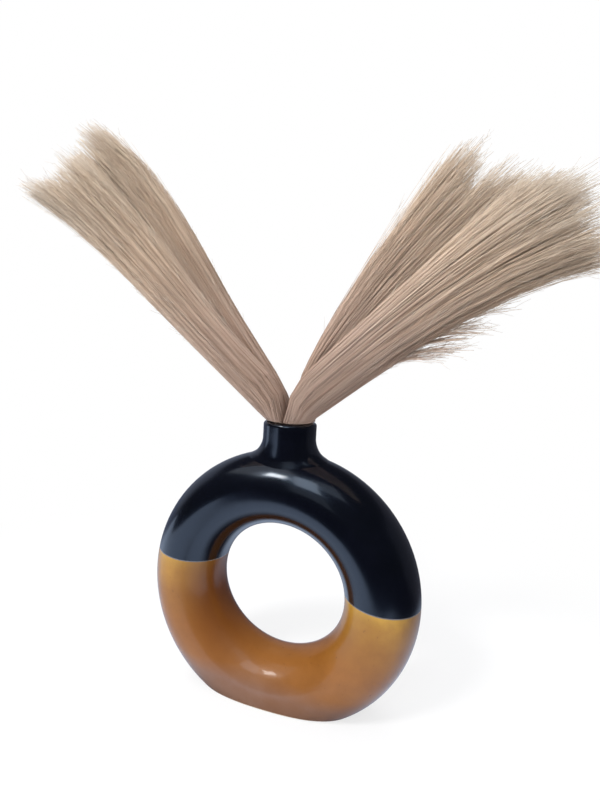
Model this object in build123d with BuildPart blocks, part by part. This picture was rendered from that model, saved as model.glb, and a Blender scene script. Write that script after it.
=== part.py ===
"""Donut vase: a hollow stoneware ring in two glazes, with four dried grass plumes in its neck.

Millimetres. +Z is up, the ring stands in the XZ plane and its front faces -Y.
The origin is the middle of the flat foot, on the table.
"""
import math
import os

from build123d import *

# Ring of the vase
ring_radius = 90.0
tube_half_width = 23.4
tube_half_depth = 25.0
foot_depth = 17.0
foot_round = 1.2

# Neck
neck_radius = 16.9
neck_rise = 19.0
flare_radius = 14.0
lip_round = 2.0

# Stations of the flare's sections, as shares of its height from under the ring's skin up to the neck.
# The last ones lie on the straight neck, so that the flare runs into it without a crease.
flare_station_shares = (0.0, 0.15, 0.3, 0.45, 0.6, 0.8, 1.0, 1.15, 1.3)
flare_root_share = 0.545
flare_foot_share = 0.5

# Layers of the wall, from outside in
glaze_thickness = 0.6
clay_thickness = 3.4
liner_thickness = 0.5
foot_band = 1.5

# Line where the two glazes meet: its height over the ring's middle and its slope towards +X
glaze_line_rise = 10.3
glaze_line_tilt = 4.0

# Stems, which cross in the neck and stand on the roof of the ring's hole
stem_radius = 1.1
stem_mouth_offset = 5.5
stem_foot_offset = 26.0
inner_stem_depth = 4.2
outer_stem_depth = 7.6
seat_clearance = 0.3

# Floral tape round the top of each stem
tape_length = 13.0
tape_below = 8.0
tape_foot_radius = 1.5
tape_top_radius = 1.8
tape_sunk = 1.0

# Plume heads: the lean at the mouth, how far the middle of the tip lies out and up from the rim's middle,
# and half the width of the fan there
left_front_lean = 42.0
left_front_reach = 170.0
left_front_rise = 143.0
left_front_half_width = 22.0
left_back_lean = 38.0
left_back_reach = 149.0
left_back_rise = 174.0
left_back_half_width = 23.0
right_front_lean = 41.0
right_front_reach = 154.0
right_front_rise = 115.0
right_front_half_width = 29.0
right_back_lean = 34.0
right_back_reach = 116.0
right_back_rise = 146.0
right_back_half_width = 34.0
start_run = 105.0

# Plume sections, and the fan of strands round each core of gathered fibres
plume_half_depth = 17.0
plume_root_half = 2.8
plume_mid_gap = 1.5
core_radius = 2.3
core_tip_radius = 1.1
core_butt_overlap = 5.0
strand_root_radius = 0.42
strand_tip_radius = 0.34
strand_sink = 0.35
strands_per_plume = 80
strand_sides = 3
core_sides = 8

# Stations along a plume, and the fan's growth, as shares of the plume's length
core_share = 0.17
core_station_shares = (0.018, 0.06, 0.11, core_share)
first_root_share = 0.025
last_root_share = 0.85
strand_station_shares = (0.18, 0.42, 0.70)
shortening_share = 0.14
shortening_turn_share = 0.67
spread_power_share = 0.52
bend_depth_share = 0.75
golden_turn_share = (3.0 - math.sqrt(5.0)) / 2.0

# Values that follow from the sizes above
ring_height = ring_radius - foot_depth
ring_top = ring_height + ring_radius
rim_height = ring_top + neck_rise
tube_circle = ring_radius - tube_half_width
wall_thickness = glaze_thickness + clay_thickness + liner_thickness
bore_radius = neck_radius - wall_thickness
hollow_half_width = tube_half_width - wall_thickness
hollow_half_depth = tube_half_depth - wall_thickness
ring_axis = Axis((0, 0, ring_height), (0, 1, 0))

os.makedirs("parts", exist_ok=True)


def finish(piece, name):
    """Gives a finished piece its name and writes it."""
    piece.part.label = name
    export_step(piece.part, f"parts/{name}.step")


def flare_start(ring_curve, curve_height, neck, flare):
    """Height at which the arc that leads the neck into a round crest of the ring begins."""
    return curve_height + math.sqrt((ring_curve + flare) ** 2 - (neck + flare) ** 2)


def flare_half_width(height, ring_curve, curve_height, neck, flare):
    """Half width of the flare at a height, down the arc and a little way under the ring's skin."""
    arc_height = flare_start(ring_curve, curve_height, neck, flare)
    meeting_share = ring_curve / (ring_curve + flare)
    meeting_height = curve_height + (arc_height - curve_height) * meeting_share
    if height >= arc_height:
        return neck
    if height >= meeting_height:
        return neck + flare - math.sqrt(flare**2 - (arc_height - height) ** 2)
    return (neck + flare) * meeting_share + (meeting_height - height) * flare_foot_share


def ring_solid(inset, floor):
    """The ring drawn in by an inset, over a flat floor."""
    with BuildPart() as ring:
        with BuildSketch(Plane.XY.offset(ring_height)):
            with Locations((tube_circle, 0)):
                Ellipse(tube_half_width - inset, tube_half_depth - inset)
        revolve(axis=ring_axis)
        split(bisect_by=Plane.XY.offset(floor), keep=Keep.TOP)
    return ring.part


def vase_outside(inset, foot=0.0):
    """The vase's outside drawn in by an inset: the ring, and a neck that flares into its crest."""
    neck = neck_radius - inset
    flare = flare_radius + inset
    crest = (tube_half_width + tube_half_depth) / 2 - inset
    crest_height = ring_height + tube_circle
    lowest = crest_height + crest * flare_root_share
    highest = flare_start(ring_radius - inset, ring_height, neck, flare)
    with BuildPart() as outside:
        add(ring_solid(inset, 0))
        if foot:
            fillet(outside.edges().group_by(Axis.Z)[0], foot)
        for share in flare_station_shares:
            height = lowest + (highest - lowest) * share
            wide = flare_half_width(height, ring_radius - inset, ring_height, neck, flare)
            deep = flare_half_width(height, crest, crest_height, neck, flare)
            with BuildSketch(Plane.XY.offset(height)):
                Ellipse(wide, deep)
        loft()
        with BuildSketch(Plane.XY.offset(height)):
            Circle(neck)
        extrude(amount=rim_height - inset - height)
        fillet(outside.edges().filter_by(GeomType.CIRCLE).sort_by(Axis.Z)[-1], lip_round - inset)
    return outside.part


def vase_hollow(inset, bore, top, floor):
    """The space inside a layer of the wall: the ring's hollow and the straight bore of the neck."""
    with BuildPart() as hollow:
        add(ring_solid(inset, floor))
        with BuildSketch(Plane.XY.offset(ring_height + tube_circle)):
            Circle(bore)
        extrude(amount=top - ring_height - tube_circle)
    return hollow.part


# Solids of the wall's layers: the glazed outside, the clay and the hollow with and without its liner
glazed_outside = vase_outside(0)
clay_outside = vase_outside(glaze_thickness, foot_round)
clay_hollow = vase_hollow(
    glaze_thickness + clay_thickness,
    bore_radius + liner_thickness,
    rim_height - glaze_thickness,
    clay_thickness,
)
lined_hollow = vase_hollow(
    wall_thickness, bore_radius, rim_height + lip_round, clay_thickness + liner_thickness
)

# Body: the bare clay shell
with BuildPart() as vase_body:
    add(clay_outside)
    add(clay_hollow, mode=Mode.SUBTRACT)
finish(vase_body, "vase_body")

# Liner: the clear glaze on every inner wall
with BuildPart() as liner_glaze:
    add(clay_hollow)
    add(lined_hollow, mode=Mode.SUBTRACT)
finish(liner_glaze, "liner_glaze")

# Outer coats: one skin over the clay, parted by the tilted line where the two dips meet
glaze_line = Plane(origin=(0, 0, ring_height + glaze_line_rise)).rotated((0, glaze_line_tilt, 0))


def glaze_coat(side, name):
    """The part of the outer skin on one side of the glaze line, wiped clear of the foot."""
    with BuildPart() as coat:
        add(glazed_outside)
        add(clay_outside, mode=Mode.SUBTRACT)
        add(lined_hollow, mode=Mode.SUBTRACT)
        split(bisect_by=Plane.XY.offset(foot_band), keep=Keep.TOP)
        split(bisect_by=glaze_line, keep=side)
    finish(coat, name)


glaze_coat(Keep.TOP, "black_glaze")
glaze_coat(Keep.BOTTOM, "amber_glaze")


def hollow_floor(depth):
    """Radius of the ring's inner wall, as the water sees it, at a distance from the ring's middle plane."""
    return tube_circle - hollow_half_width * math.sqrt(1.0 - (depth / hollow_half_depth) ** 2)


def stem_line(side, stem_depth):
    """Lower end of a stem on the roof of the ring's hole, and the way it leans out of the mouth."""
    seat = hollow_floor(abs(stem_depth) + stem_radius) + seat_clearance + stem_radius
    foot_x = -side * stem_foot_offset
    foot_z = ring_height + math.sqrt(seat**2 - foot_x**2)
    foot = Vector(foot_x, stem_depth, foot_z)
    mouth = Vector(side * stem_mouth_offset, stem_depth, rim_height)
    return foot, mouth, (mouth - foot).normalized()


def make_stem(foot, top, name):
    """A straight culm."""
    with BuildPart() as stem:
        with BuildSketch(Plane(foot, z_dir=top - foot)):
            Circle(stem_radius)
        extrude(amount=(top - foot).length)
    finish(stem, name)


def make_tape(joint, along, name):
    """The tapered wrap round the top of the stem and the root of the rachis."""
    with BuildPart() as tape:
        with BuildSketch(Plane(joint - along * tape_below, z_dir=along)):
            Circle(tape_foot_radius)
        with BuildSketch(Plane(joint + along * (tape_length - tape_below), z_dir=along)):
            Circle(tape_top_radius)
        loft()
        with BuildSketch(Plane(joint - along * tape_below, z_dir=along)):
            Circle(stem_radius)
        extrude(amount=tape_length, mode=Mode.SUBTRACT)
    finish(tape, name)


class Plume:
    """The curved middle line of a plume and the ellipse that its fan fills at each share of its length."""

    def __init__(self, side, stem_depth, root, lean, reach, rise, half_width):
        lean_out = Vector(side * math.sin(math.radians(lean)), 0, math.cos(math.radians(lean)))
        tip_depth = math.copysign(plume_half_depth + plume_mid_gap, stem_depth)
        self.root = root
        self.bend = root + lean_out * start_run + Vector(0, tip_depth * bend_depth_share - stem_depth, 0)
        self.tip = Vector(side * reach, tip_depth, rim_height + rise)
        self.heading = (self.tip - self.root).normalized()
        self.across = Vector(0, side, 0).cross(self.heading).normalized()
        self.deep = self.heading.cross(self.across)
        self.half_width = half_width

    def middle(self, share):
        """The middle line, which leaves the mouth at its lean and bends over towards the tip."""
        return self.root * (1 - share) ** 2 + self.bend * (2 * share * (1 - share)) + self.tip * share**2

    def aside(self, turn, width, depth):
        """A step away from the middle line, at a turn round it."""
        return self.across * (width * math.cos(turn)) + self.deep * (depth * math.sin(turn))

    def fan_point(self, share, turn, spread):
        """A point of the fan: a turn round the middle line and a share of the fan's size there."""
        growth = share**spread_power_share
        width = plume_root_half + (self.half_width - plume_root_half) * growth
        depth = plume_root_half + (plume_half_depth - plume_root_half) * growth
        return self.middle(share) + self.aside(turn, width * spread, depth * spread)

    def outline(self, middle, radius, sides):
        """The corners of a small regular outline, square to the plume."""
        turns = [2 * math.pi * side / sides for side in range(sides)]
        return [middle + self.aside(turn, radius, radius) for turn in turns]


def flat_sided(outlines):
    """A closed solid with flat sides through outlines that lie parallel."""
    sides = [Face(Wire.make_polygon(outline)) for outline in (outlines[0], outlines[-1])]
    for lower, upper in zip(outlines[:-1], outlines[1:]):
        for corner in range(len(lower)):
            corners = [lower[corner - 1], lower[corner], upper[corner], upper[corner - 1]]
            sides.append(Face(Wire.make_polygon(corners)))
    return Solid(Shell(sides))


def core_radius_at(share):
    """Radius of the gathered fibres in the middle of a plume."""
    return core_radius + (core_tip_radius - core_radius) * share / core_share


def strand(plume, number):
    """One fibre, from the core out to its tip. Golden turns fill the fan from its outside inwards."""
    order = (number + 0.5) / strands_per_plume
    turn = 2 * math.pi * golden_turn_share * number
    spread = math.sqrt(1.0 - order)
    root_share = first_root_share + (core_share - first_root_share) * last_root_share * order
    end_share = 1.0 - shortening_share * math.modf(shortening_turn_share * number)[0]
    depth_in_core = core_radius_at(root_share) - strand_sink
    middles = [plume.middle(root_share) + plume.aside(turn, depth_in_core, depth_in_core)]
    middles += [plume.fan_point(share, turn, spread) for share in (*strand_station_shares, end_share)]
    outlines = []
    for middle, share in zip(middles, (root_share, *strand_station_shares, end_share)):
        radius = strand_root_radius + (strand_tip_radius - strand_root_radius) * share
        outlines.append(plume.outline(middle, radius, strand_sides))
    return flat_sided(outlines)


def make_head(plume, joint, along, name):
    """The core of gathered fibres, its butt in the tape and its fan of strands, fused in one step."""
    fan = [strand(plume, number) for number in range(strands_per_plume)]
    core = []
    for share in core_station_shares:
        core.append(plume.outline(plume.middle(share), core_radius_at(share), core_sides))
    with BuildPart() as head:
        with BuildSketch(Plane(joint, z_dir=along)):
            RegularPolygon(stem_radius, core_sides)
        extrude(amount=(plume.root - joint).length + core_butt_overlap)
        add([flat_sided(core), *fan])
    finish(head, name)


# Plumes: side, depth of the stem's own plane, then lean, reach, rise and half width of the head
left_front_fan = (left_front_lean, left_front_reach, left_front_rise, left_front_half_width)
left_back_fan = (left_back_lean, left_back_reach, left_back_rise, left_back_half_width)
right_front_fan = (right_front_lean, right_front_reach, right_front_rise, right_front_half_width)
right_back_fan = (right_back_lean, right_back_reach, right_back_rise, right_back_half_width)
plume_table = {
    "left_front": (-1, -inner_stem_depth, left_front_fan),
    "left_back": (-1, outer_stem_depth, left_back_fan),
    "right_front": (1, -outer_stem_depth, right_front_fan),
    "right_back": (1, inner_stem_depth, right_back_fan),
}
for plume_name, (side, stem_depth, fan) in plume_table.items():
    foot, mouth, along = stem_line(side, stem_depth)
    tape_top = mouth - along * tape_sunk
    joint = tape_top - along * (tape_length - tape_below)
    make_stem(foot, joint, f"{plume_name}_stem")
    make_tape(joint, along, f"{plume_name}_tape")
    make_head(Plume(side, stem_depth, tape_top, *fan), joint, along, f"{plume_name}_head")
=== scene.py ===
"""Looks of the donut vase and its dried plumes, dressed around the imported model. Metres, +Z up."""
import math

import bpy
import numpy as np
from mathutils import Matrix, Vector


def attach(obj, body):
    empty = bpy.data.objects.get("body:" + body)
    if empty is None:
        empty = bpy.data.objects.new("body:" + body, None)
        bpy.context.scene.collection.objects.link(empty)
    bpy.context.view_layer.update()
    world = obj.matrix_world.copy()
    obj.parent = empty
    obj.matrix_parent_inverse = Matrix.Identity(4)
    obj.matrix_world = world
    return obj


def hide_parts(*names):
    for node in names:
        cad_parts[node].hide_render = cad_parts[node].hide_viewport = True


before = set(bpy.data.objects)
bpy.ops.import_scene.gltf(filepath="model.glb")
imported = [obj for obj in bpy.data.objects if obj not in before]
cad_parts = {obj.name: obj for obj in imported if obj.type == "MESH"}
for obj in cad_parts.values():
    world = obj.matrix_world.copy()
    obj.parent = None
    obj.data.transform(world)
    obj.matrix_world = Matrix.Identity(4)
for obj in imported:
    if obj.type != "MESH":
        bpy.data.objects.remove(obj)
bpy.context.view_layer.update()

# Sizes of the vase
RING_HEIGHT = 0.073
RIM_HEIGHT = 0.182
GLAZE_LINE_HEIGHT = 0.0833
GLAZE_LINE_SLOPE = -math.tan(math.radians(4.0))
GLAZE_EDGE = 0.0006

# Where the amber glaze changes: how far it runs down, and two bands around the ring's middle: painted
# shade inside the hole, and at the outer rim a painted reflection with painted shade on its right
AMBER_RUN = 0.070
HOLE_SHADE_START = 0.070
HOLE_SHADE_WIDTH = 0.026
RIM_SHEEN_BAND = (0.0775, 0.0900)

# Camera of the photograph: its place, two of its directions and its lens, for a frame 800 pixels high
CAMERA_PLACE = Vector((0.10687, -0.30560, 0.23263))
CAMERA_UP = Vector((-0.0877, 0.0890, 0.9922))
CAMERA_AHEAD = Vector((-0.3126, 0.9432, -0.1123))
FOCAL_PIXELS = 515.5
FRAME_PIXELS = 800.0
SENSOR = 36.0
CLIP_START = 0.01

# Fans of the plumes, looking at the front: stations along them, and how far their lower and upper
# edges lie out from and over the middle of the rim, in millimetres
STATIONS = (0.0, 0.10, 0.25, 0.40, 0.55, 0.70, 0.85, 1.0)
FANS = {
    "left_front": (
        ((-16, 3), (-30, 18), (-52, 35), (-77, 55), (-101, 79), (-130, 102), (-162, 124), (-195, 141)),
        ((-0.5, 20), (-17, 35), (-36, 53), (-56, 72), (-77, 97), (-100, 122), (-127, 146), (-161, 169)),
    ),
    "left_back": (
        ((-15, 8), (-31, 23), (-54, 44), (-78, 68), (-105, 95), (-132, 122), (-164, 149), (-199, 173)),
        ((-6, 18), (-25, 38), (-39, 58), (-58, 85), (-81, 113), (-101, 145), (-128, 175), (-172, 201)),
    ),
    "right_front": (
        ((19, 5), (35, 17), (66, 42), (92, 63), (117, 77), (143, 88), (164, 97), (185, 101)),
        ((0.5, 20), (15, 36), (41, 60), (63, 81), (82, 101), (102, 119), (119, 133), (137, 146)),
    ),
    "right_back": (
        ((8, 9), (20, 23), (47, 52), (71, 76), (95, 96), (119, 113), (141, 125), (162, 136)),
        ((1, 23), (8, 42), (21, 69), (38, 97), (55, 124), (71, 149), (88, 172), (104, 194)),
    ),
}
EDGE_DEGREE = 4
# Ends of the fans: how far the fibres reach at some places from the lower edge to the upper one
ENDS = {
    "left_front": (
        (0.0, 0.32, 0.42, 0.55, 0.80, 1.0),
        (0.990, 0.985, 0.955, 0.935, 0.955, 0.985),
    ),
    "left_back": (
        (0.0, 0.25, 0.45, 0.70, 1.0),
        (0.960, 0.950, 0.950, 0.975, 1.0),
    ),
    "right_front": (
        (0.0, 0.32, 0.48, 0.645, 0.80, 1.0),
        (0.88, 0.914, 0.948, 1.0, 0.974, 0.905),
    ),
    "right_back": (
        (0.0, 0.19, 0.40, 0.53, 0.645, 0.71, 0.79, 1.0),
        (1.0, 0.974, 0.905, 0.862, 0.75, 0.845, 0.862, 0.81),
    ),
}
# How frayed the two bunches are
LEFT_FRAY = 0.5
RIGHT_FRAY = 1.0

# Tufts off the lower edge of the right bunch: where they leave it, where they end, how far off
STRAY_PLUME = "right_front"
STRAYS = (
    (0.24, 0.350, 0.44), (0.27, 0.392, 0.54), (0.31, 0.425, 0.42),
    (0.35, 0.468, 0.44), (0.38, 0.475, 0.25), (0.43, 0.560, 0.18),
)
STRAY_FIBRES = 34
STRAY_RING_SHARES = np.array([0.02, 0.20, 0.42, 0.60, 0.72, 0.82, 0.91, 1.0])
STRAY_START = 0.06
STRAY_WIDTH = 0.012

# Fibres of one plume, and the small clumps and locks of one tone that they gather in
FIRST_SEED = 11
FIBRES = 2300
CLUMPS = 190
LOCKS = 640
SIDES = 3
RING_SHARES = np.array([0.01, 0.07, 0.18, 0.34, 0.52, 0.70, 0.86, 1.0])
FIBRE_ROOT_RADIUS = 0.00023
FIBRE_TIP_RADIUS = 0.00010
SHORT_FIBRES = 0.22
SWAY = 0.0022
WAVE = 0.0009
WAVE_TURN = 9
CURL = 0.0018

# Short side hairs of one plume
BARBS = 2700
BARB_RADIUS = 0.00009
BARB_LENGTHS = (0.004, 0.010)

# Depth of a fan from the middle plane, at its root and where it is widest
ROOT_HALF_DEPTH = 0.0078
HALF_DEPTH = 0.0175
MID_GAP = 0.0006
SPREAD_POWER = 0.52

# How the fibres fill the mouth and spread over the lip
MOUTH_RADIUS = 0.0117
MOUTH_GAP = 0.0004
NECK_NARROWING = 0.93
NECK_DEPTH = 0.009
LIP_SPREAD = 0.34
LIP_RISE = 0.0050
LIP_DROP = 0.0038
ROOT_RINGS = 3

# Floor, light and what the glazes mirror
FLOOR_HALF = 6.0
LAMP_AIM = Vector((0, 0, 0.14))
BLACK = (0, 0, 0, 1)
WHITE = (1.0, 1.0, 1.0, 1.0)


def srgb(red, green, blue):
    """A linear colour from the 0 to 255 values of a screen colour."""
    shares = [value / 255 for value in (red, green, blue)]
    return tuple(s / 12.92 if s <= 0.04045 else ((s + 0.055) / 1.055) ** 2.4 for s in shares) + (1.0,)


def make_camera():
    camera_data = bpy.data.cameras.new("photo_camera")
    camera_data.sensor_width = SENSOR
    camera_data.lens = SENSOR * FOCAL_PIXELS / FRAME_PIXELS
    camera_data.clip_start = CLIP_START
    camera = bpy.data.objects.new("photo_camera", camera_data)
    back = -CAMERA_AHEAD
    right = CAMERA_UP.cross(back).normalized()
    up = back.cross(right).normalized()
    turn = Matrix((right, up, back.normalized())).transposed().to_4x4()
    camera.matrix_world = Matrix.Translation(CAMERA_PLACE) @ turn
    bpy.context.scene.collection.objects.link(camera)
    bpy.context.scene.camera = camera


# Node trees
class Tree:
    """A node tree, with short ways to add and join nodes."""

    def __init__(self, tree):
        self.nodes = tree.nodes
        self.links = tree.links

    def add(self, kind, **settings):
        node = self.nodes.new(kind)
        for key, value in settings.items():
            setattr(node, key, value)
        return node

    def feed(self, value, socket):
        """Gives a socket a constant, or joins another node's output to it."""
        if isinstance(value, (int, float, tuple)):
            socket.default_value = value
        else:
            self.links.new(value, socket)

    def calculate(self, operation, *values):
        node = self.add("ShaderNodeMath", operation=operation)
        for value, socket in zip(values, node.inputs):
            self.feed(value, socket)
        return node.outputs[0]

    def mix(self, factor, first, second, blend="MIX"):
        node = self.add("ShaderNodeMix", data_type="RGBA", blend_type=blend)
        sockets = [socket for socket in node.inputs if socket.enabled]
        for value, socket in zip((factor, first, second), sockets):
            self.feed(value, socket)
        return [socket for socket in node.outputs if socket.enabled][0]

    def ease(self, value, start, end):
        """A factor that goes smoothly from 0 at the start to 1 at the end."""
        node = self.add("ShaderNodeMapRange", interpolation_type="SMOOTHSTEP")
        self.feed(value, node.inputs["Value"])
        node.inputs["From Min"].default_value = start
        node.inputs["From Max"].default_value = end
        return node.outputs["Result"]

    def place(self, kind="Object"):
        return self.add("ShaderNodeTexCoord").outputs[kind]

    def axes(self, kind="Object"):
        split = self.add("ShaderNodeSeparateXYZ")
        self.feed(self.place(kind), split.inputs[0])
        return split.outputs["X"], split.outputs["Y"], split.outputs["Z"]

    def rays(self):
        """Two factors: whether the camera sees a surface, and whether another surface mirrors it."""
        path = self.add("ShaderNodeLightPath")
        mirrored = self.calculate(
            "MAXIMUM", path.outputs["Is Glossy Ray"], path.outputs["Is Transmission Ray"])
        return path.outputs["Is Camera Ray"], mirrored


class Recipe(Tree):
    """A material's node tree around its shader."""

    def __init__(self, name):
        self.material = bpy.data.materials.new(name)
        self.material.use_nodes = True
        super().__init__(self.material.node_tree)
        self.shader = self.nodes["Principled BSDF"]

    def noise(self, scale, detail=4.0, roughness=0.5, vector=None):
        node = self.add("ShaderNodeTexNoise")
        node.inputs["Scale"].default_value = scale
        node.inputs["Detail"].default_value = detail
        node.inputs["Roughness"].default_value = roughness
        self.feed(vector if vector is not None else self.place(), node.inputs["Vector"])
        return node.outputs["Fac"]

    def ramp(self, factor, stops):
        node = self.add("ShaderNodeValToRGB")
        elements = node.color_ramp.elements
        while len(elements) < len(stops):
            elements.new(0.5)
        for element, (position, colour) in zip(elements, stops):
            element.position = position
            element.color = colour
        self.feed(factor, node.inputs["Fac"])
        return node.outputs["Color"]

    def bump(self, height, strength, distance):
        node = self.add("ShaderNodeBump")
        node.inputs["Strength"].default_value = strength
        node.inputs["Distance"].default_value = distance
        self.feed(height, node.inputs["Height"])
        self.feed(node.outputs["Normal"], self.shader.inputs["Normal"])

    def colour(self, value):
        self.feed(value, self.shader.inputs["Base Color"])

    def set(self, **values):
        for key, value in values.items():
            self.shader.inputs[key.replace("_", " ")].default_value = value


def over_glaze_line(recipe):
    """Height of a point over the sloping line where the two glazes meet, in metres."""
    x, _, z = recipe.axes()
    line = recipe.calculate("MULTIPLY_ADD", x, GLAZE_LINE_SLOPE, GLAZE_LINE_HEIGHT)
    return recipe.calculate("SUBTRACT", z, line)


def from_ring_middle(recipe):
    """Distance of a point from the ring's middle in the ring's plane, in metres."""
    x, _, z = recipe.axes()
    rise = recipe.calculate("SUBTRACT", z, RING_HEIGHT)
    across = recipe.calculate("POWER", x, 2.0)
    return recipe.calculate("SQRT", recipe.calculate("ADD", across, recipe.calculate("POWER", rise, 2.0)))


# Glazes and clay
def black_glaze():
    recipe = Recipe("black_gloss_glaze")
    body = recipe.ramp(recipe.noise(38.0, 5.0, 0.55), [(0.35, srgb(1, 2, 6)), (0.75, srgb(4, 5, 13))])
    # A thin pale line along the black glaze's lower edge: partly the glaze thinning there, partly a
    # painted highlight.
    edge = recipe.calculate("LESS_THAN", over_glaze_line(recipe), GLAZE_EDGE)
    recipe.colour(recipe.mix(edge, body, srgb(110, 104, 100)))
    recipe.set(Roughness=0.22, IOR=1.6, Specular_Tint=(0.66, 0.80, 1.0, 1.0))
    recipe.set(Coat_Weight=0.8, Coat_Roughness=0.10, Coat_Tint=(0.92, 0.96, 1.0, 1.0))
    recipe.bump(recipe.noise(70.0, 2.0, 0.4), 0.16, 0.0010)
    return recipe.material


def amber_glaze():
    """Amber that pales under the glaze line, and darkens at the hole's left side with painted shade and
    at the outer rim with a greyish painted reflection, darker still on the right as painted shade.
    """
    recipe = Recipe("amber_gloss_glaze")
    drop = recipe.calculate("MULTIPLY", over_glaze_line(recipe), -1.0)
    run = recipe.ramp(recipe.calculate("DIVIDE", drop, AMBER_RUN), [
        (0.0, srgb(182, 142, 56)), (0.10, srgb(166, 122, 46)), (0.32, srgb(142, 96, 36)),
        (0.60, srgb(142, 92, 38)), (0.86, srgb(140, 92, 46)), (1.0, srgb(128, 98, 82)),
    ])
    # Painted shade inside the hole: a dark band on the inner wall, strongest at its left side.
    inward = recipe.calculate("SUBTRACT", HOLE_SHADE_START, from_ring_middle(recipe))
    inward = recipe.calculate("DIVIDE", inward, HOLE_SHADE_WIDTH)
    hole_shade = recipe.ramp(inward, [(0.0, BLACK), (1.0, WHITE)])
    x, _, _ = recipe.axes()
    shade = recipe.calculate("MULTIPLY_ADD", recipe.ease(x, 0.0, -0.055), 0.75, 0.25)
    with_hole_shade = recipe.mix(recipe.calculate("MULTIPLY", hole_shade, shade), run, srgb(92, 46, 18))
    cloud = recipe.ease(recipe.noise(26.0, 6.0, 0.66), 0.38, 0.68)
    clouded = recipe.mix(recipe.calculate("MULTIPLY", cloud, 0.40), with_hole_shade, srgb(108, 64, 22))
    # At the outer rim a greyish painted reflection, darker on the right side as painted shade.
    rim = recipe.calculate("MULTIPLY", recipe.ease(from_ring_middle(recipe), *RIM_SHEEN_BAND), 0.75)
    rim_sheen_and_shade = recipe.mix(recipe.ease(x, 0.0, 0.06), srgb(120, 90, 74), srgb(104, 74, 56))
    with_rim_sheen = recipe.mix(rim, clouded, rim_sheen_and_shade)
    speck = recipe.calculate("GREATER_THAN", recipe.noise(420.0, 2.0, 0.5), 0.735)
    recipe.colour(recipe.mix(recipe.calculate("MULTIPLY", speck, 0.45), with_rim_sheen, srgb(84, 44, 22)))
    recipe.set(Roughness=0.28, IOR=1.42, Coat_Weight=0.35, Coat_Roughness=0.06)
    recipe.bump(recipe.noise(60.0, 2.0, 0.4), 0.12, 0.0010)
    return recipe.material


def bare_clay():
    recipe = Recipe("bare_stoneware")
    cloud = recipe.noise(160.0, 6.0, 0.6)
    recipe.colour(recipe.ramp(cloud, [(0.3, srgb(196, 172, 142)), (0.7, srgb(222, 203, 176))]))
    recipe.set(Roughness=0.85)
    recipe.bump(recipe.noise(900.0, 3.0, 0.6), 0.35, 0.0004)
    return recipe.material


def liner():
    recipe = Recipe("liner_glaze")
    cloud = recipe.noise(60.0, 4.0, 0.5)
    recipe.colour(recipe.ramp(cloud, [(0.3, srgb(92, 66, 44)), (0.7, srgb(128, 96, 66))]))
    recipe.set(Roughness=0.2)
    return recipe.material


# Stems, tapes and fibres
def stem_bark():
    recipe = Recipe("dry_stem")
    stretch = recipe.add("ShaderNodeMapping")
    stretch.inputs["Scale"].default_value = (900.0, 900.0, 60.0)
    recipe.feed(recipe.place(), stretch.inputs["Vector"])
    grain = recipe.noise(1.0, 4.0, 0.6, stretch.outputs["Vector"])
    recipe.colour(recipe.ramp(grain, [(0.3, srgb(134, 104, 66)), (0.7, srgb(186, 154, 108))]))
    recipe.set(Roughness=0.55)
    recipe.bump(grain, 0.3, 0.0003)
    return recipe.material


def stem_tape():
    recipe = Recipe("floral_tape")
    wave = recipe.add("ShaderNodeTexWave", wave_type="BANDS", bands_direction="Z")
    wave.inputs["Scale"].default_value = 90.0
    wave.inputs["Distortion"].default_value = 1.5
    recipe.feed(recipe.place(), wave.inputs["Vector"])
    turns = wave.outputs["Fac"]
    recipe.colour(recipe.ramp(turns, [(0.0, srgb(84, 62, 42)), (1.0, srgb(122, 94, 64))]))
    recipe.set(Roughness=0.7)
    recipe.bump(turns, 0.4, 0.0003)
    return recipe.material


def plume_fibre():
    """The colour goes from the fibres' roots to their tips, and each lock has a tone of its own."""
    recipe = Recipe("dry_fibre")
    along = recipe.add("ShaderNodeAttribute", attribute_name="along").outputs["Fac"]
    tone = recipe.add("ShaderNodeAttribute", attribute_name="tone").outputs["Fac"]
    length_colour = recipe.ramp(along, [
        (0.0, srgb(188, 165, 152)), (0.25, srgb(210, 189, 175)), (0.6, srgb(223, 205, 186)),
        (0.88, srgb(218, 205, 188)), (1.0, srgb(218, 210, 199)),
    ])
    tone_colour = recipe.mix(tone, srgb(184, 161, 144), srgb(255, 252, 248))
    recipe.colour(recipe.mix(0.85, length_colour, tone_colour, "MULTIPLY"))
    recipe.set(Roughness=0.55)
    return recipe.material


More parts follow.
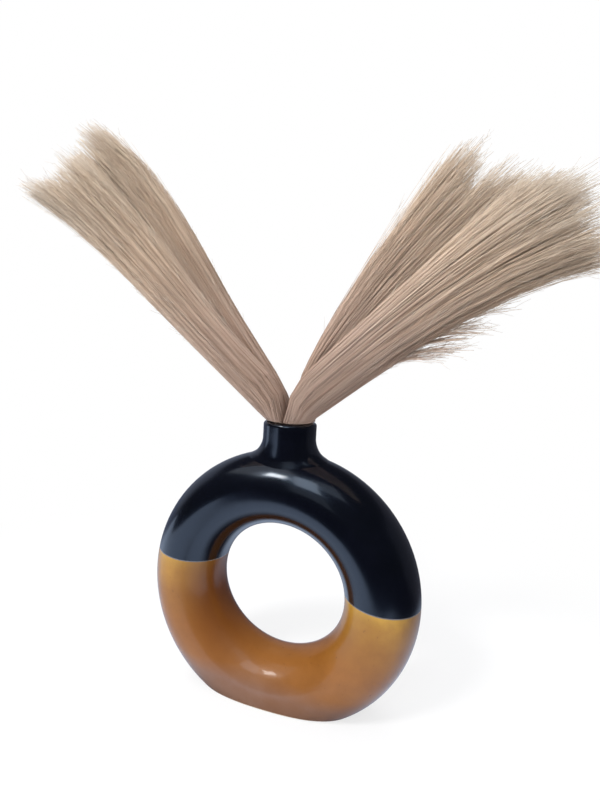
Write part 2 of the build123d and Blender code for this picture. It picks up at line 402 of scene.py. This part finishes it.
# Plumes
class Plume:
    """One fan of fibres, between a lower and an upper edge and on one side of the middle plane."""

    def __init__(self, name):
        self.name = name
        self.side = -1 if name.startswith("left") else 1
        self.face = -1 if name.endswith("front") else 1
        self.fray = LEFT_FRAY if self.side < 0 else RIGHT_FRAY
        self.edges = []
        for edge in FANS[name]:
            out, rise = np.array(edge, dtype=float).T / 1000
            self.edges.append((
                np.polyfit(STATIONS, out, EDGE_DEGREE),
                np.polyfit(STATIONS, rise + RIM_HEIGHT, EDGE_DEGREE),
            ))

    def fan(self, share, across, deep):
        """Points of the fan. across is 0 at the lower edge and 1 at the upper one, deep -1 to 1."""
        low, high = ([np.polyval(part, share) for part in edge] for edge in self.edges)
        spread = np.clip(share, 0, 1) ** SPREAD_POWER
        half = ROOT_HALF_DEPTH + (HALF_DEPTH - ROOT_HALF_DEPTH) * spread
        x, z = (a + (b - a) * across for a, b in zip(low, high))
        y = self.face * (half + MID_GAP - half * deep)
        return np.stack([x, y, z], axis=-1)

    def mouth(self, across, deep):
        """Points in this plume's quarter of the mouth."""
        x = MOUTH_GAP + (MOUTH_RADIUS - MOUTH_GAP) * (1 - across)
        y = MOUTH_GAP + (MOUTH_RADIUS - MOUTH_GAP) * (1 - deep) / 2
        inward = np.minimum(1, MOUTH_RADIUS / np.hypot(x, y))
        z = np.full_like(x, RIM_HEIGHT)
        return np.stack([self.side * x * inward, self.face * y * inward, z], axis=-1)

    def through_mouth(self, here, paths):
        """Paths with their roots added: down in the neck, at the mouth and over the lip."""
        square = np.hypot(here[:, 0], here[:, 1]) / np.maximum(np.abs(here).max(axis=1), 1e-6)
        mouth = self.mouth((1 + here[:, 0] * square) / 2, here[:, 1] * square)
        below = mouth * np.array([NECK_NARROWING, NECK_NARROWING, 1.0]) - np.array([0, 0, NECK_DEPTH])
        outer = (np.hypot(mouth[:, :1], mouth[:, 1:2]) / MOUTH_RADIUS) ** 2
        over_lip = mouth * (1 + np.array([LIP_SPREAD, LIP_SPREAD, 0.0]) * outer)
        over_lip += np.array([0, 0, LIP_RISE]) - np.array([0, 0, LIP_DROP]) * outer
        paths = np.concatenate([below[:, None], mouth[:, None], over_lip[:, None], paths], axis=1)
        paths[:, ROOT_RINGS:-1] = (paths[:, 2:-2] + 2 * paths[:, 3:-1] + paths[:, 4:]) / 4
        return paths

    def keep_apart(self, paths):
        """Keeps the fibres on their own side of both middle planes."""
        for axis, sign in ((0, self.side), (1, self.face)):
            paths[..., axis] = sign * np.maximum(sign * paths[..., axis], MOUTH_GAP)
        return paths

    def reach(self, across):
        return np.interp(across, *ENDS[self.name])


def tubes(parts, name):
    """One mesh of closed tubes. Each part has paths (tubes x rings x 3), radii, along and tone."""
    points, faces, along, tone = [], [], [], []
    used = 0
    for paths, radii, part_along, part_tone in parts:
        count, rings = radii.shape
        ahead = np.gradient(paths, axis=1)
        ahead /= np.linalg.norm(ahead, axis=2, keepdims=True) + 1e-12
        side = np.cross(ahead, np.array([0.0, 1.0, 0.0]))
        side /= np.linalg.norm(side, axis=2, keepdims=True) + 1e-12
        other = np.cross(ahead, side)
        turns = 2 * math.pi * np.arange(SIDES) / SIDES
        corner = side[:, :, None] * np.cos(turns)[None, None, :, None]
        corner = corner + other[:, :, None] * np.sin(turns)[None, None, :, None]
        points.append((paths[:, :, None] + corner * radii[:, :, None, None]).reshape(-1, 3))
        first = used + (np.arange(count) * rings * SIDES)[:, None, None]
        ring = (np.arange(rings - 1) * SIDES)[None, :, None]
        here = np.arange(SIDES)[None, None, :]
        low, low_next = first + ring + here, first + ring + (here + 1) % SIDES
        walls = np.stack([low, low_next, low_next + SIDES, low + SIDES], axis=-1)
        faces += walls.reshape(-1, 4).tolist()
        faces += (first[:, 0] + np.arange(SIDES)[::-1]).tolist()
        faces += (first[:, 0] + (rings - 1) * SIDES + np.arange(SIDES)).tolist()
        along.append(np.repeat(part_along.reshape(-1), SIDES))
        tone.append(np.repeat(part_tone.reshape(-1), SIDES))
        used += count * rings * SIDES
    mesh = bpy.data.meshes.new(name)
    mesh.from_pydata(np.concatenate(points), [], faces)
    mesh.update()
    mesh.polygons.foreach_set("use_smooth", [True] * len(faces))
    for key, values in (("along", along), ("tone", tone)):
        layer = mesh.attributes.new(key, "FLOAT", "POINT")
        layer.data.foreach_set("value", np.concatenate(values).astype(np.float32))
    piece = bpy.data.objects.new(name, mesh)
    bpy.context.scene.collection.objects.link(piece)
    return piece


def gathered(random):
    """Places of the fibres over the fan, with each one's clump's place, its clump and its lock."""
    turn = random.uniform(0, 2 * math.pi, (FIBRES + CLUMPS))
    spread = np.sqrt(random.uniform(0, 1, (FIBRES + CLUMPS)))
    places = np.stack([spread * np.cos(turn), spread * np.sin(turn)], axis=1)
    fibres, clumps, locks = places[:FIBRES], places[FIBRES:] * 0.97, places[:LOCKS]
    owner = np.argmin(np.linalg.norm(fibres[:, None] - clumps[None], axis=2), axis=1)
    lock = np.argmin(np.linalg.norm(fibres[:, None] - locks[None], axis=2), axis=1)
    return fibres, clumps[owner], owner, lock


def turn_into_strays(random, share, across, deep):
    """Turns the first fibres into the tufts that stand off the fan's lower edge."""
    for number, (leave, end, off) in enumerate(STRAYS):
        chosen = slice(number * STRAY_FIBRES, (number + 1) * STRAY_FIBRES)
        size = random.uniform(0.88, 1.0, STRAY_FIBRES)[:, None]
        share[chosen] = end * size * STRAY_RING_SHARES[None, :]
        past = np.clip((share[chosen] - leave) / (end - leave), 0, 1)
        width = random.normal(0, STRAY_WIDTH, (STRAY_FIBRES, 1)) * (0.7 + 0.8 * past)
        across[chosen] = STRAY_START + width - off * past**1.4
        deep[chosen] = random.uniform(-0.3, 0.3, (STRAY_FIBRES, 1))


def barbs(plume, random, paths, tone):
    """Short side hairs, most of them on the last part of the fibres."""
    owner = random.integers(0, FIBRES, BARBS)
    place = paths.shape[1] - 1.02 - 4.4 * random.uniform(0, 1, BARBS) ** 1.5
    low = place.astype(int)
    part = (place - low)[:, None]
    start = paths[owner, low] * (1 - part) + paths[owner, low + 1] * part
    ahead = paths[owner, low + 1] - paths[owner, low]
    ahead /= np.linalg.norm(ahead, axis=1, keepdims=True)
    aside = random.normal(0, 1, (BARBS, 3))
    aside -= np.sum(aside * ahead, axis=1, keepdims=True) * ahead
    aside /= np.linalg.norm(aside, axis=1, keepdims=True)
    size = random.uniform(*BARB_LENGTHS, (BARBS, 1))
    middle = start + (ahead * 0.50 + aside * 0.28) * size
    end = middle + (ahead * 0.40 + aside * 0.16) * size
    hairs = plume.keep_apart(np.stack([start, middle, end], axis=1))
    radii = np.full((BARBS, 3), BARB_RADIUS) * np.array([1.0, 0.9, 0.7])
    return hairs, radii, np.ones((BARBS, 3)), np.repeat(tone[owner][:, None], 3, axis=1)


def plume_fibres(plume, seed):
    """Fine fibres that fill the mouth, fan out in clumps and fray, with barbs towards their tips."""
    random = np.random.default_rng(seed)
    here, clump, owner, lock = gathered(random)
    lock_tone = random.uniform(0, 1, LOCKS) ** 0.6
    clump_length = random.uniform(-0.045, 0.014, CLUMPS) * plume.fray
    pull = random.uniform(0.05, 0.55, FIBRES)[:, None]
    across_end = np.clip((1 + clump[:, 0]) / 2, 0, 1)
    is_short = random.uniform(0, 1, FIBRES) < SHORT_FIBRES
    short = np.where(is_short, random.uniform(0.55, 0.95, FIBRES), 1.0)
    length = plume.reach(across_end) + clump_length[owner] - random.uniform(0, 0.3, FIBRES) ** 2.2
    share = (length * short)[:, None] * RING_SHARES[None, :]
    draw = pull * np.clip(share, 0, 1) ** 1.4
    upward = here[:, :1] * (1 - draw) + clump[:, :1] * draw
    deep = here[:, 1:] * (1 - draw) + clump[:, 1:] * draw
    upward = np.sign(upward) * np.abs(upward) ** 0.88
    across = (1 + upward) / 2
    if plume.name == STRAY_PLUME:
        turn_into_strays(random, share, across, deep)
    paths = plume.fan(share, across, deep)
    sway = random.normal(0, 1, (FIBRES, 1, 3)) * (share**1.5)[..., None] * SWAY * plume.fray
    wave = np.sin(share[..., None] * WAVE_TURN + random.uniform(0, 2 * math.pi, (FIBRES, 1, 3)))
    wave = wave * share[..., None] * WAVE
    curl = random.normal(0, 1, (FIBRES, 1, 3)) * (RING_SHARES**6)[None, :, None] * CURL * plume.fray
    paths = plume.keep_apart(plume.through_mouth(here, paths + sway + wave + curl))
    rings = paths.shape[1]
    step = np.linspace(0, 1, rings)[None, :] * np.ones((FIBRES, 1))
    radii = FIBRE_ROOT_RADIUS + (FIBRE_TIP_RADIUS - FIBRE_ROOT_RADIUS) * step
    tone = np.clip(lock_tone[lock] * 0.78 + random.uniform(0, 0.22, FIBRES), 0, 1)
    along = np.concatenate([np.zeros((FIBRES, ROOT_RINGS)), share], axis=1)
    fibres = (paths, radii, along, np.repeat(tone[:, None], rings, axis=1))
    return tubes([fibres, barbs(plume, random, paths, tone)], f"{plume.name}_fibres")


def make_plumes():
    fibre = plume_fibre()
    for number, name in enumerate(FANS):
        piece = plume_fibres(Plume(name), FIRST_SEED + number)
        piece.data.materials.append(fibre)
        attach(piece, f"{name}_plume")
        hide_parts(f"{name}_head")


def dress_nodes():
    """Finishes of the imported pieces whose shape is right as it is."""
    looks = {
        "vase_body": bare_clay(),
        "liner_glaze": liner(),
        "black_glaze": black_glaze(),
        "amber_glaze": amber_glaze(),
    }
    bark, tape = stem_bark(), stem_tape()
    for name in FANS:
        looks[f"{name}_stem"] = bark
        looks[f"{name}_tape"] = tape
    for name, material in looks.items():
        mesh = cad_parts[name].data
        mesh.materials.clear()
        mesh.materials.append(material)


# Stage and light
def mirrored_floor(recipe, x, y, away):
    """What the glazes mirror of the floor: two bright bands of daylight, a painted shadow close round the
    vase, and a dim floor behind.
    """
    before = recipe.ease(y, -0.21, -0.15)
    before = recipe.calculate("MULTIPLY", before, recipe.ease(x, 0.28, 0.14))
    aslant = recipe.ease(recipe.calculate("MULTIPLY_ADD", x, -1.4, y), -0.12, -0.06)
    aslant = recipe.calculate("MULTIPLY", aslant, recipe.ease(x, -0.95, -0.60))
    # Painted shadow: the mirrored floor stays dark close round the vase.
    near = recipe.ease(away, 0.035, 0.085)
    bright = recipe.calculate("MULTIPLY", recipe.calculate("MAXIMUM", before, aslant), near)
    front = recipe.mix(bright, (0.03, 0.03, 0.045, 1.0), (0.66, 0.78, 1.0, 1.0))
    back = recipe.mix(recipe.ease(x, -0.4, 0.1), (0.13, 0.15, 0.22, 1.0), (0.07, 0.07, 0.09, 1.0))
    return recipe.mix(recipe.ease(y, 0.02, 0.22), front, back)


def make_stage():
    """A pale floor that keeps the vase's shadow and turns white away from it."""
    mesh = bpy.data.meshes.new("floor")
    corners = [(a * FLOOR_HALF, b * FLOOR_HALF, 0) for a, b in ((-1, -1), (1, -1), (1, 1), (-1, 1))]
    mesh.from_pydata(corners, [], [(0, 1, 2, 3)])
    floor = bpy.data.objects.new("floor", mesh)
    bpy.context.scene.collection.objects.link(floor)
    recipe = Recipe("pale_floor")
    recipe.set(Base_Color=(0.82, 0.83, 0.85, 1.0), Roughness=0.9)
    x, y, _ = recipe.axes()
    length = recipe.add("ShaderNodeVectorMath", operation="LENGTH")
    recipe.feed(recipe.place(), length.inputs[0])
    away = length.outputs["Value"]
    seen, mirrored = recipe.rays()
    glow = recipe.add("ShaderNodeEmission")
    glow_colour = recipe.mix(mirrored, WHITE, mirrored_floor(recipe, x, y, away))
    recipe.feed(glow_colour, glow.inputs["Color"])
    far = recipe.calculate("MULTIPLY_ADD", recipe.ease(away, 0.14, 0.42), 0.28, 0.72)
    share = recipe.calculate("MAXIMUM", recipe.calculate("MULTIPLY", far, seen), mirrored)
    mixed = recipe.add("ShaderNodeMixShader")
    recipe.feed(share, mixed.inputs[0])
    recipe.feed(recipe.shader.outputs[0], mixed.inputs[1])
    recipe.feed(glow.outputs[0], mixed.inputs[2])
    recipe.feed(mixed.outputs[0], recipe.nodes["Material Output"].inputs["Surface"])
    floor.data.materials.append(recipe.material)


def make_room():
    """The world: white to the camera, an even light on surfaces, and a dark room in the glazes."""
    world = bpy.data.worlds.new("studio")
    bpy.context.scene.world = world
    world.use_nodes = True
    room = Tree(world.node_tree)
    x, y, z = room.axes("Generated")
    behind = room.ease(y, -0.10, 0.30)
    low = room.calculate("SUBTRACT", 1.0, room.ease(z, 0.40, 0.56))
    backdrop = room.mix(room.ease(x, -0.5, 0.3), (0.20, 0.22, 0.28, 1.0), (0.08, 0.08, 0.10, 1.0))
    dark_room = room.mix(room.calculate("MULTIPLY", behind, low), (0.03, 0.03, 0.038, 1.0), backdrop)
    seen, mirrored = room.rays()
    lit = room.mix(mirrored, (0.63, 0.63, 0.64, 1.0), dark_room)
    room.feed(room.mix(seen, lit, WHITE), room.nodes["Background"].inputs["Color"])


def lamp(name, azimuth, elevation, distance, size, power, colour, mirrored=True):
    """A soft rectangular lamp, turned from the front to the right and raised, aimed at the vase."""
    turn, rise = math.radians(azimuth), math.radians(elevation)
    way = Vector((math.sin(turn) * math.cos(rise), -math.cos(turn) * math.cos(rise), math.sin(rise)))
    data = bpy.data.lights.new(name, "AREA")
    data.shape = "RECTANGLE"
    data.size, data.size_y = size
    data.energy = power
    data.color = colour
    light = bpy.data.objects.new(name, data)
    light.location = LAMP_AIM + way * distance
    light.rotation_euler = (-way).to_track_quat("-Z", "Y").to_euler()
    light.visible_glossy = mirrored
    bpy.context.scene.collection.objects.link(light)


def make_lamps():
    lamp("key", -29, 45, 1.25, (0.30, 0.26), 11.0, (1.0, 0.98, 0.95), mirrored=False)
    lamp("spot", -29, 46, 1.25, (0.26, 0.19), 2.7, (1.0, 0.98, 0.95))
    lamp("skylight", -1, 46, 1.3, (0.36, 0.62), 1.7, (0.78, 0.89, 1.0))
    lamp("doorway", -3, 20, 1.3, (0.45, 0.42), 0.16, (0.80, 0.90, 1.0))
    lamp("window", -58, 54, 1.3, (1.00, 0.70), 1.2, (0.92, 0.96, 1.0))
    lamp("ceiling", 28, 56, 1.3, (0.50, 0.45), 0.35, (0.80, 0.90, 1.0))
    lamp("side", 50, 42, 1.5, (0.9, 0.9), 4.5, (1.0, 0.98, 0.96), mirrored=False)
    lamp("back", -150, 45, 1.6, (1.0, 0.8), 9.0, (1.0, 1.0, 1.0), mirrored=False)


make_camera()
dress_nodes()
make_plumes()
make_stage()
make_room()
make_lamps()
bpy.context.scene.view_settings.view_transform = "Standard"
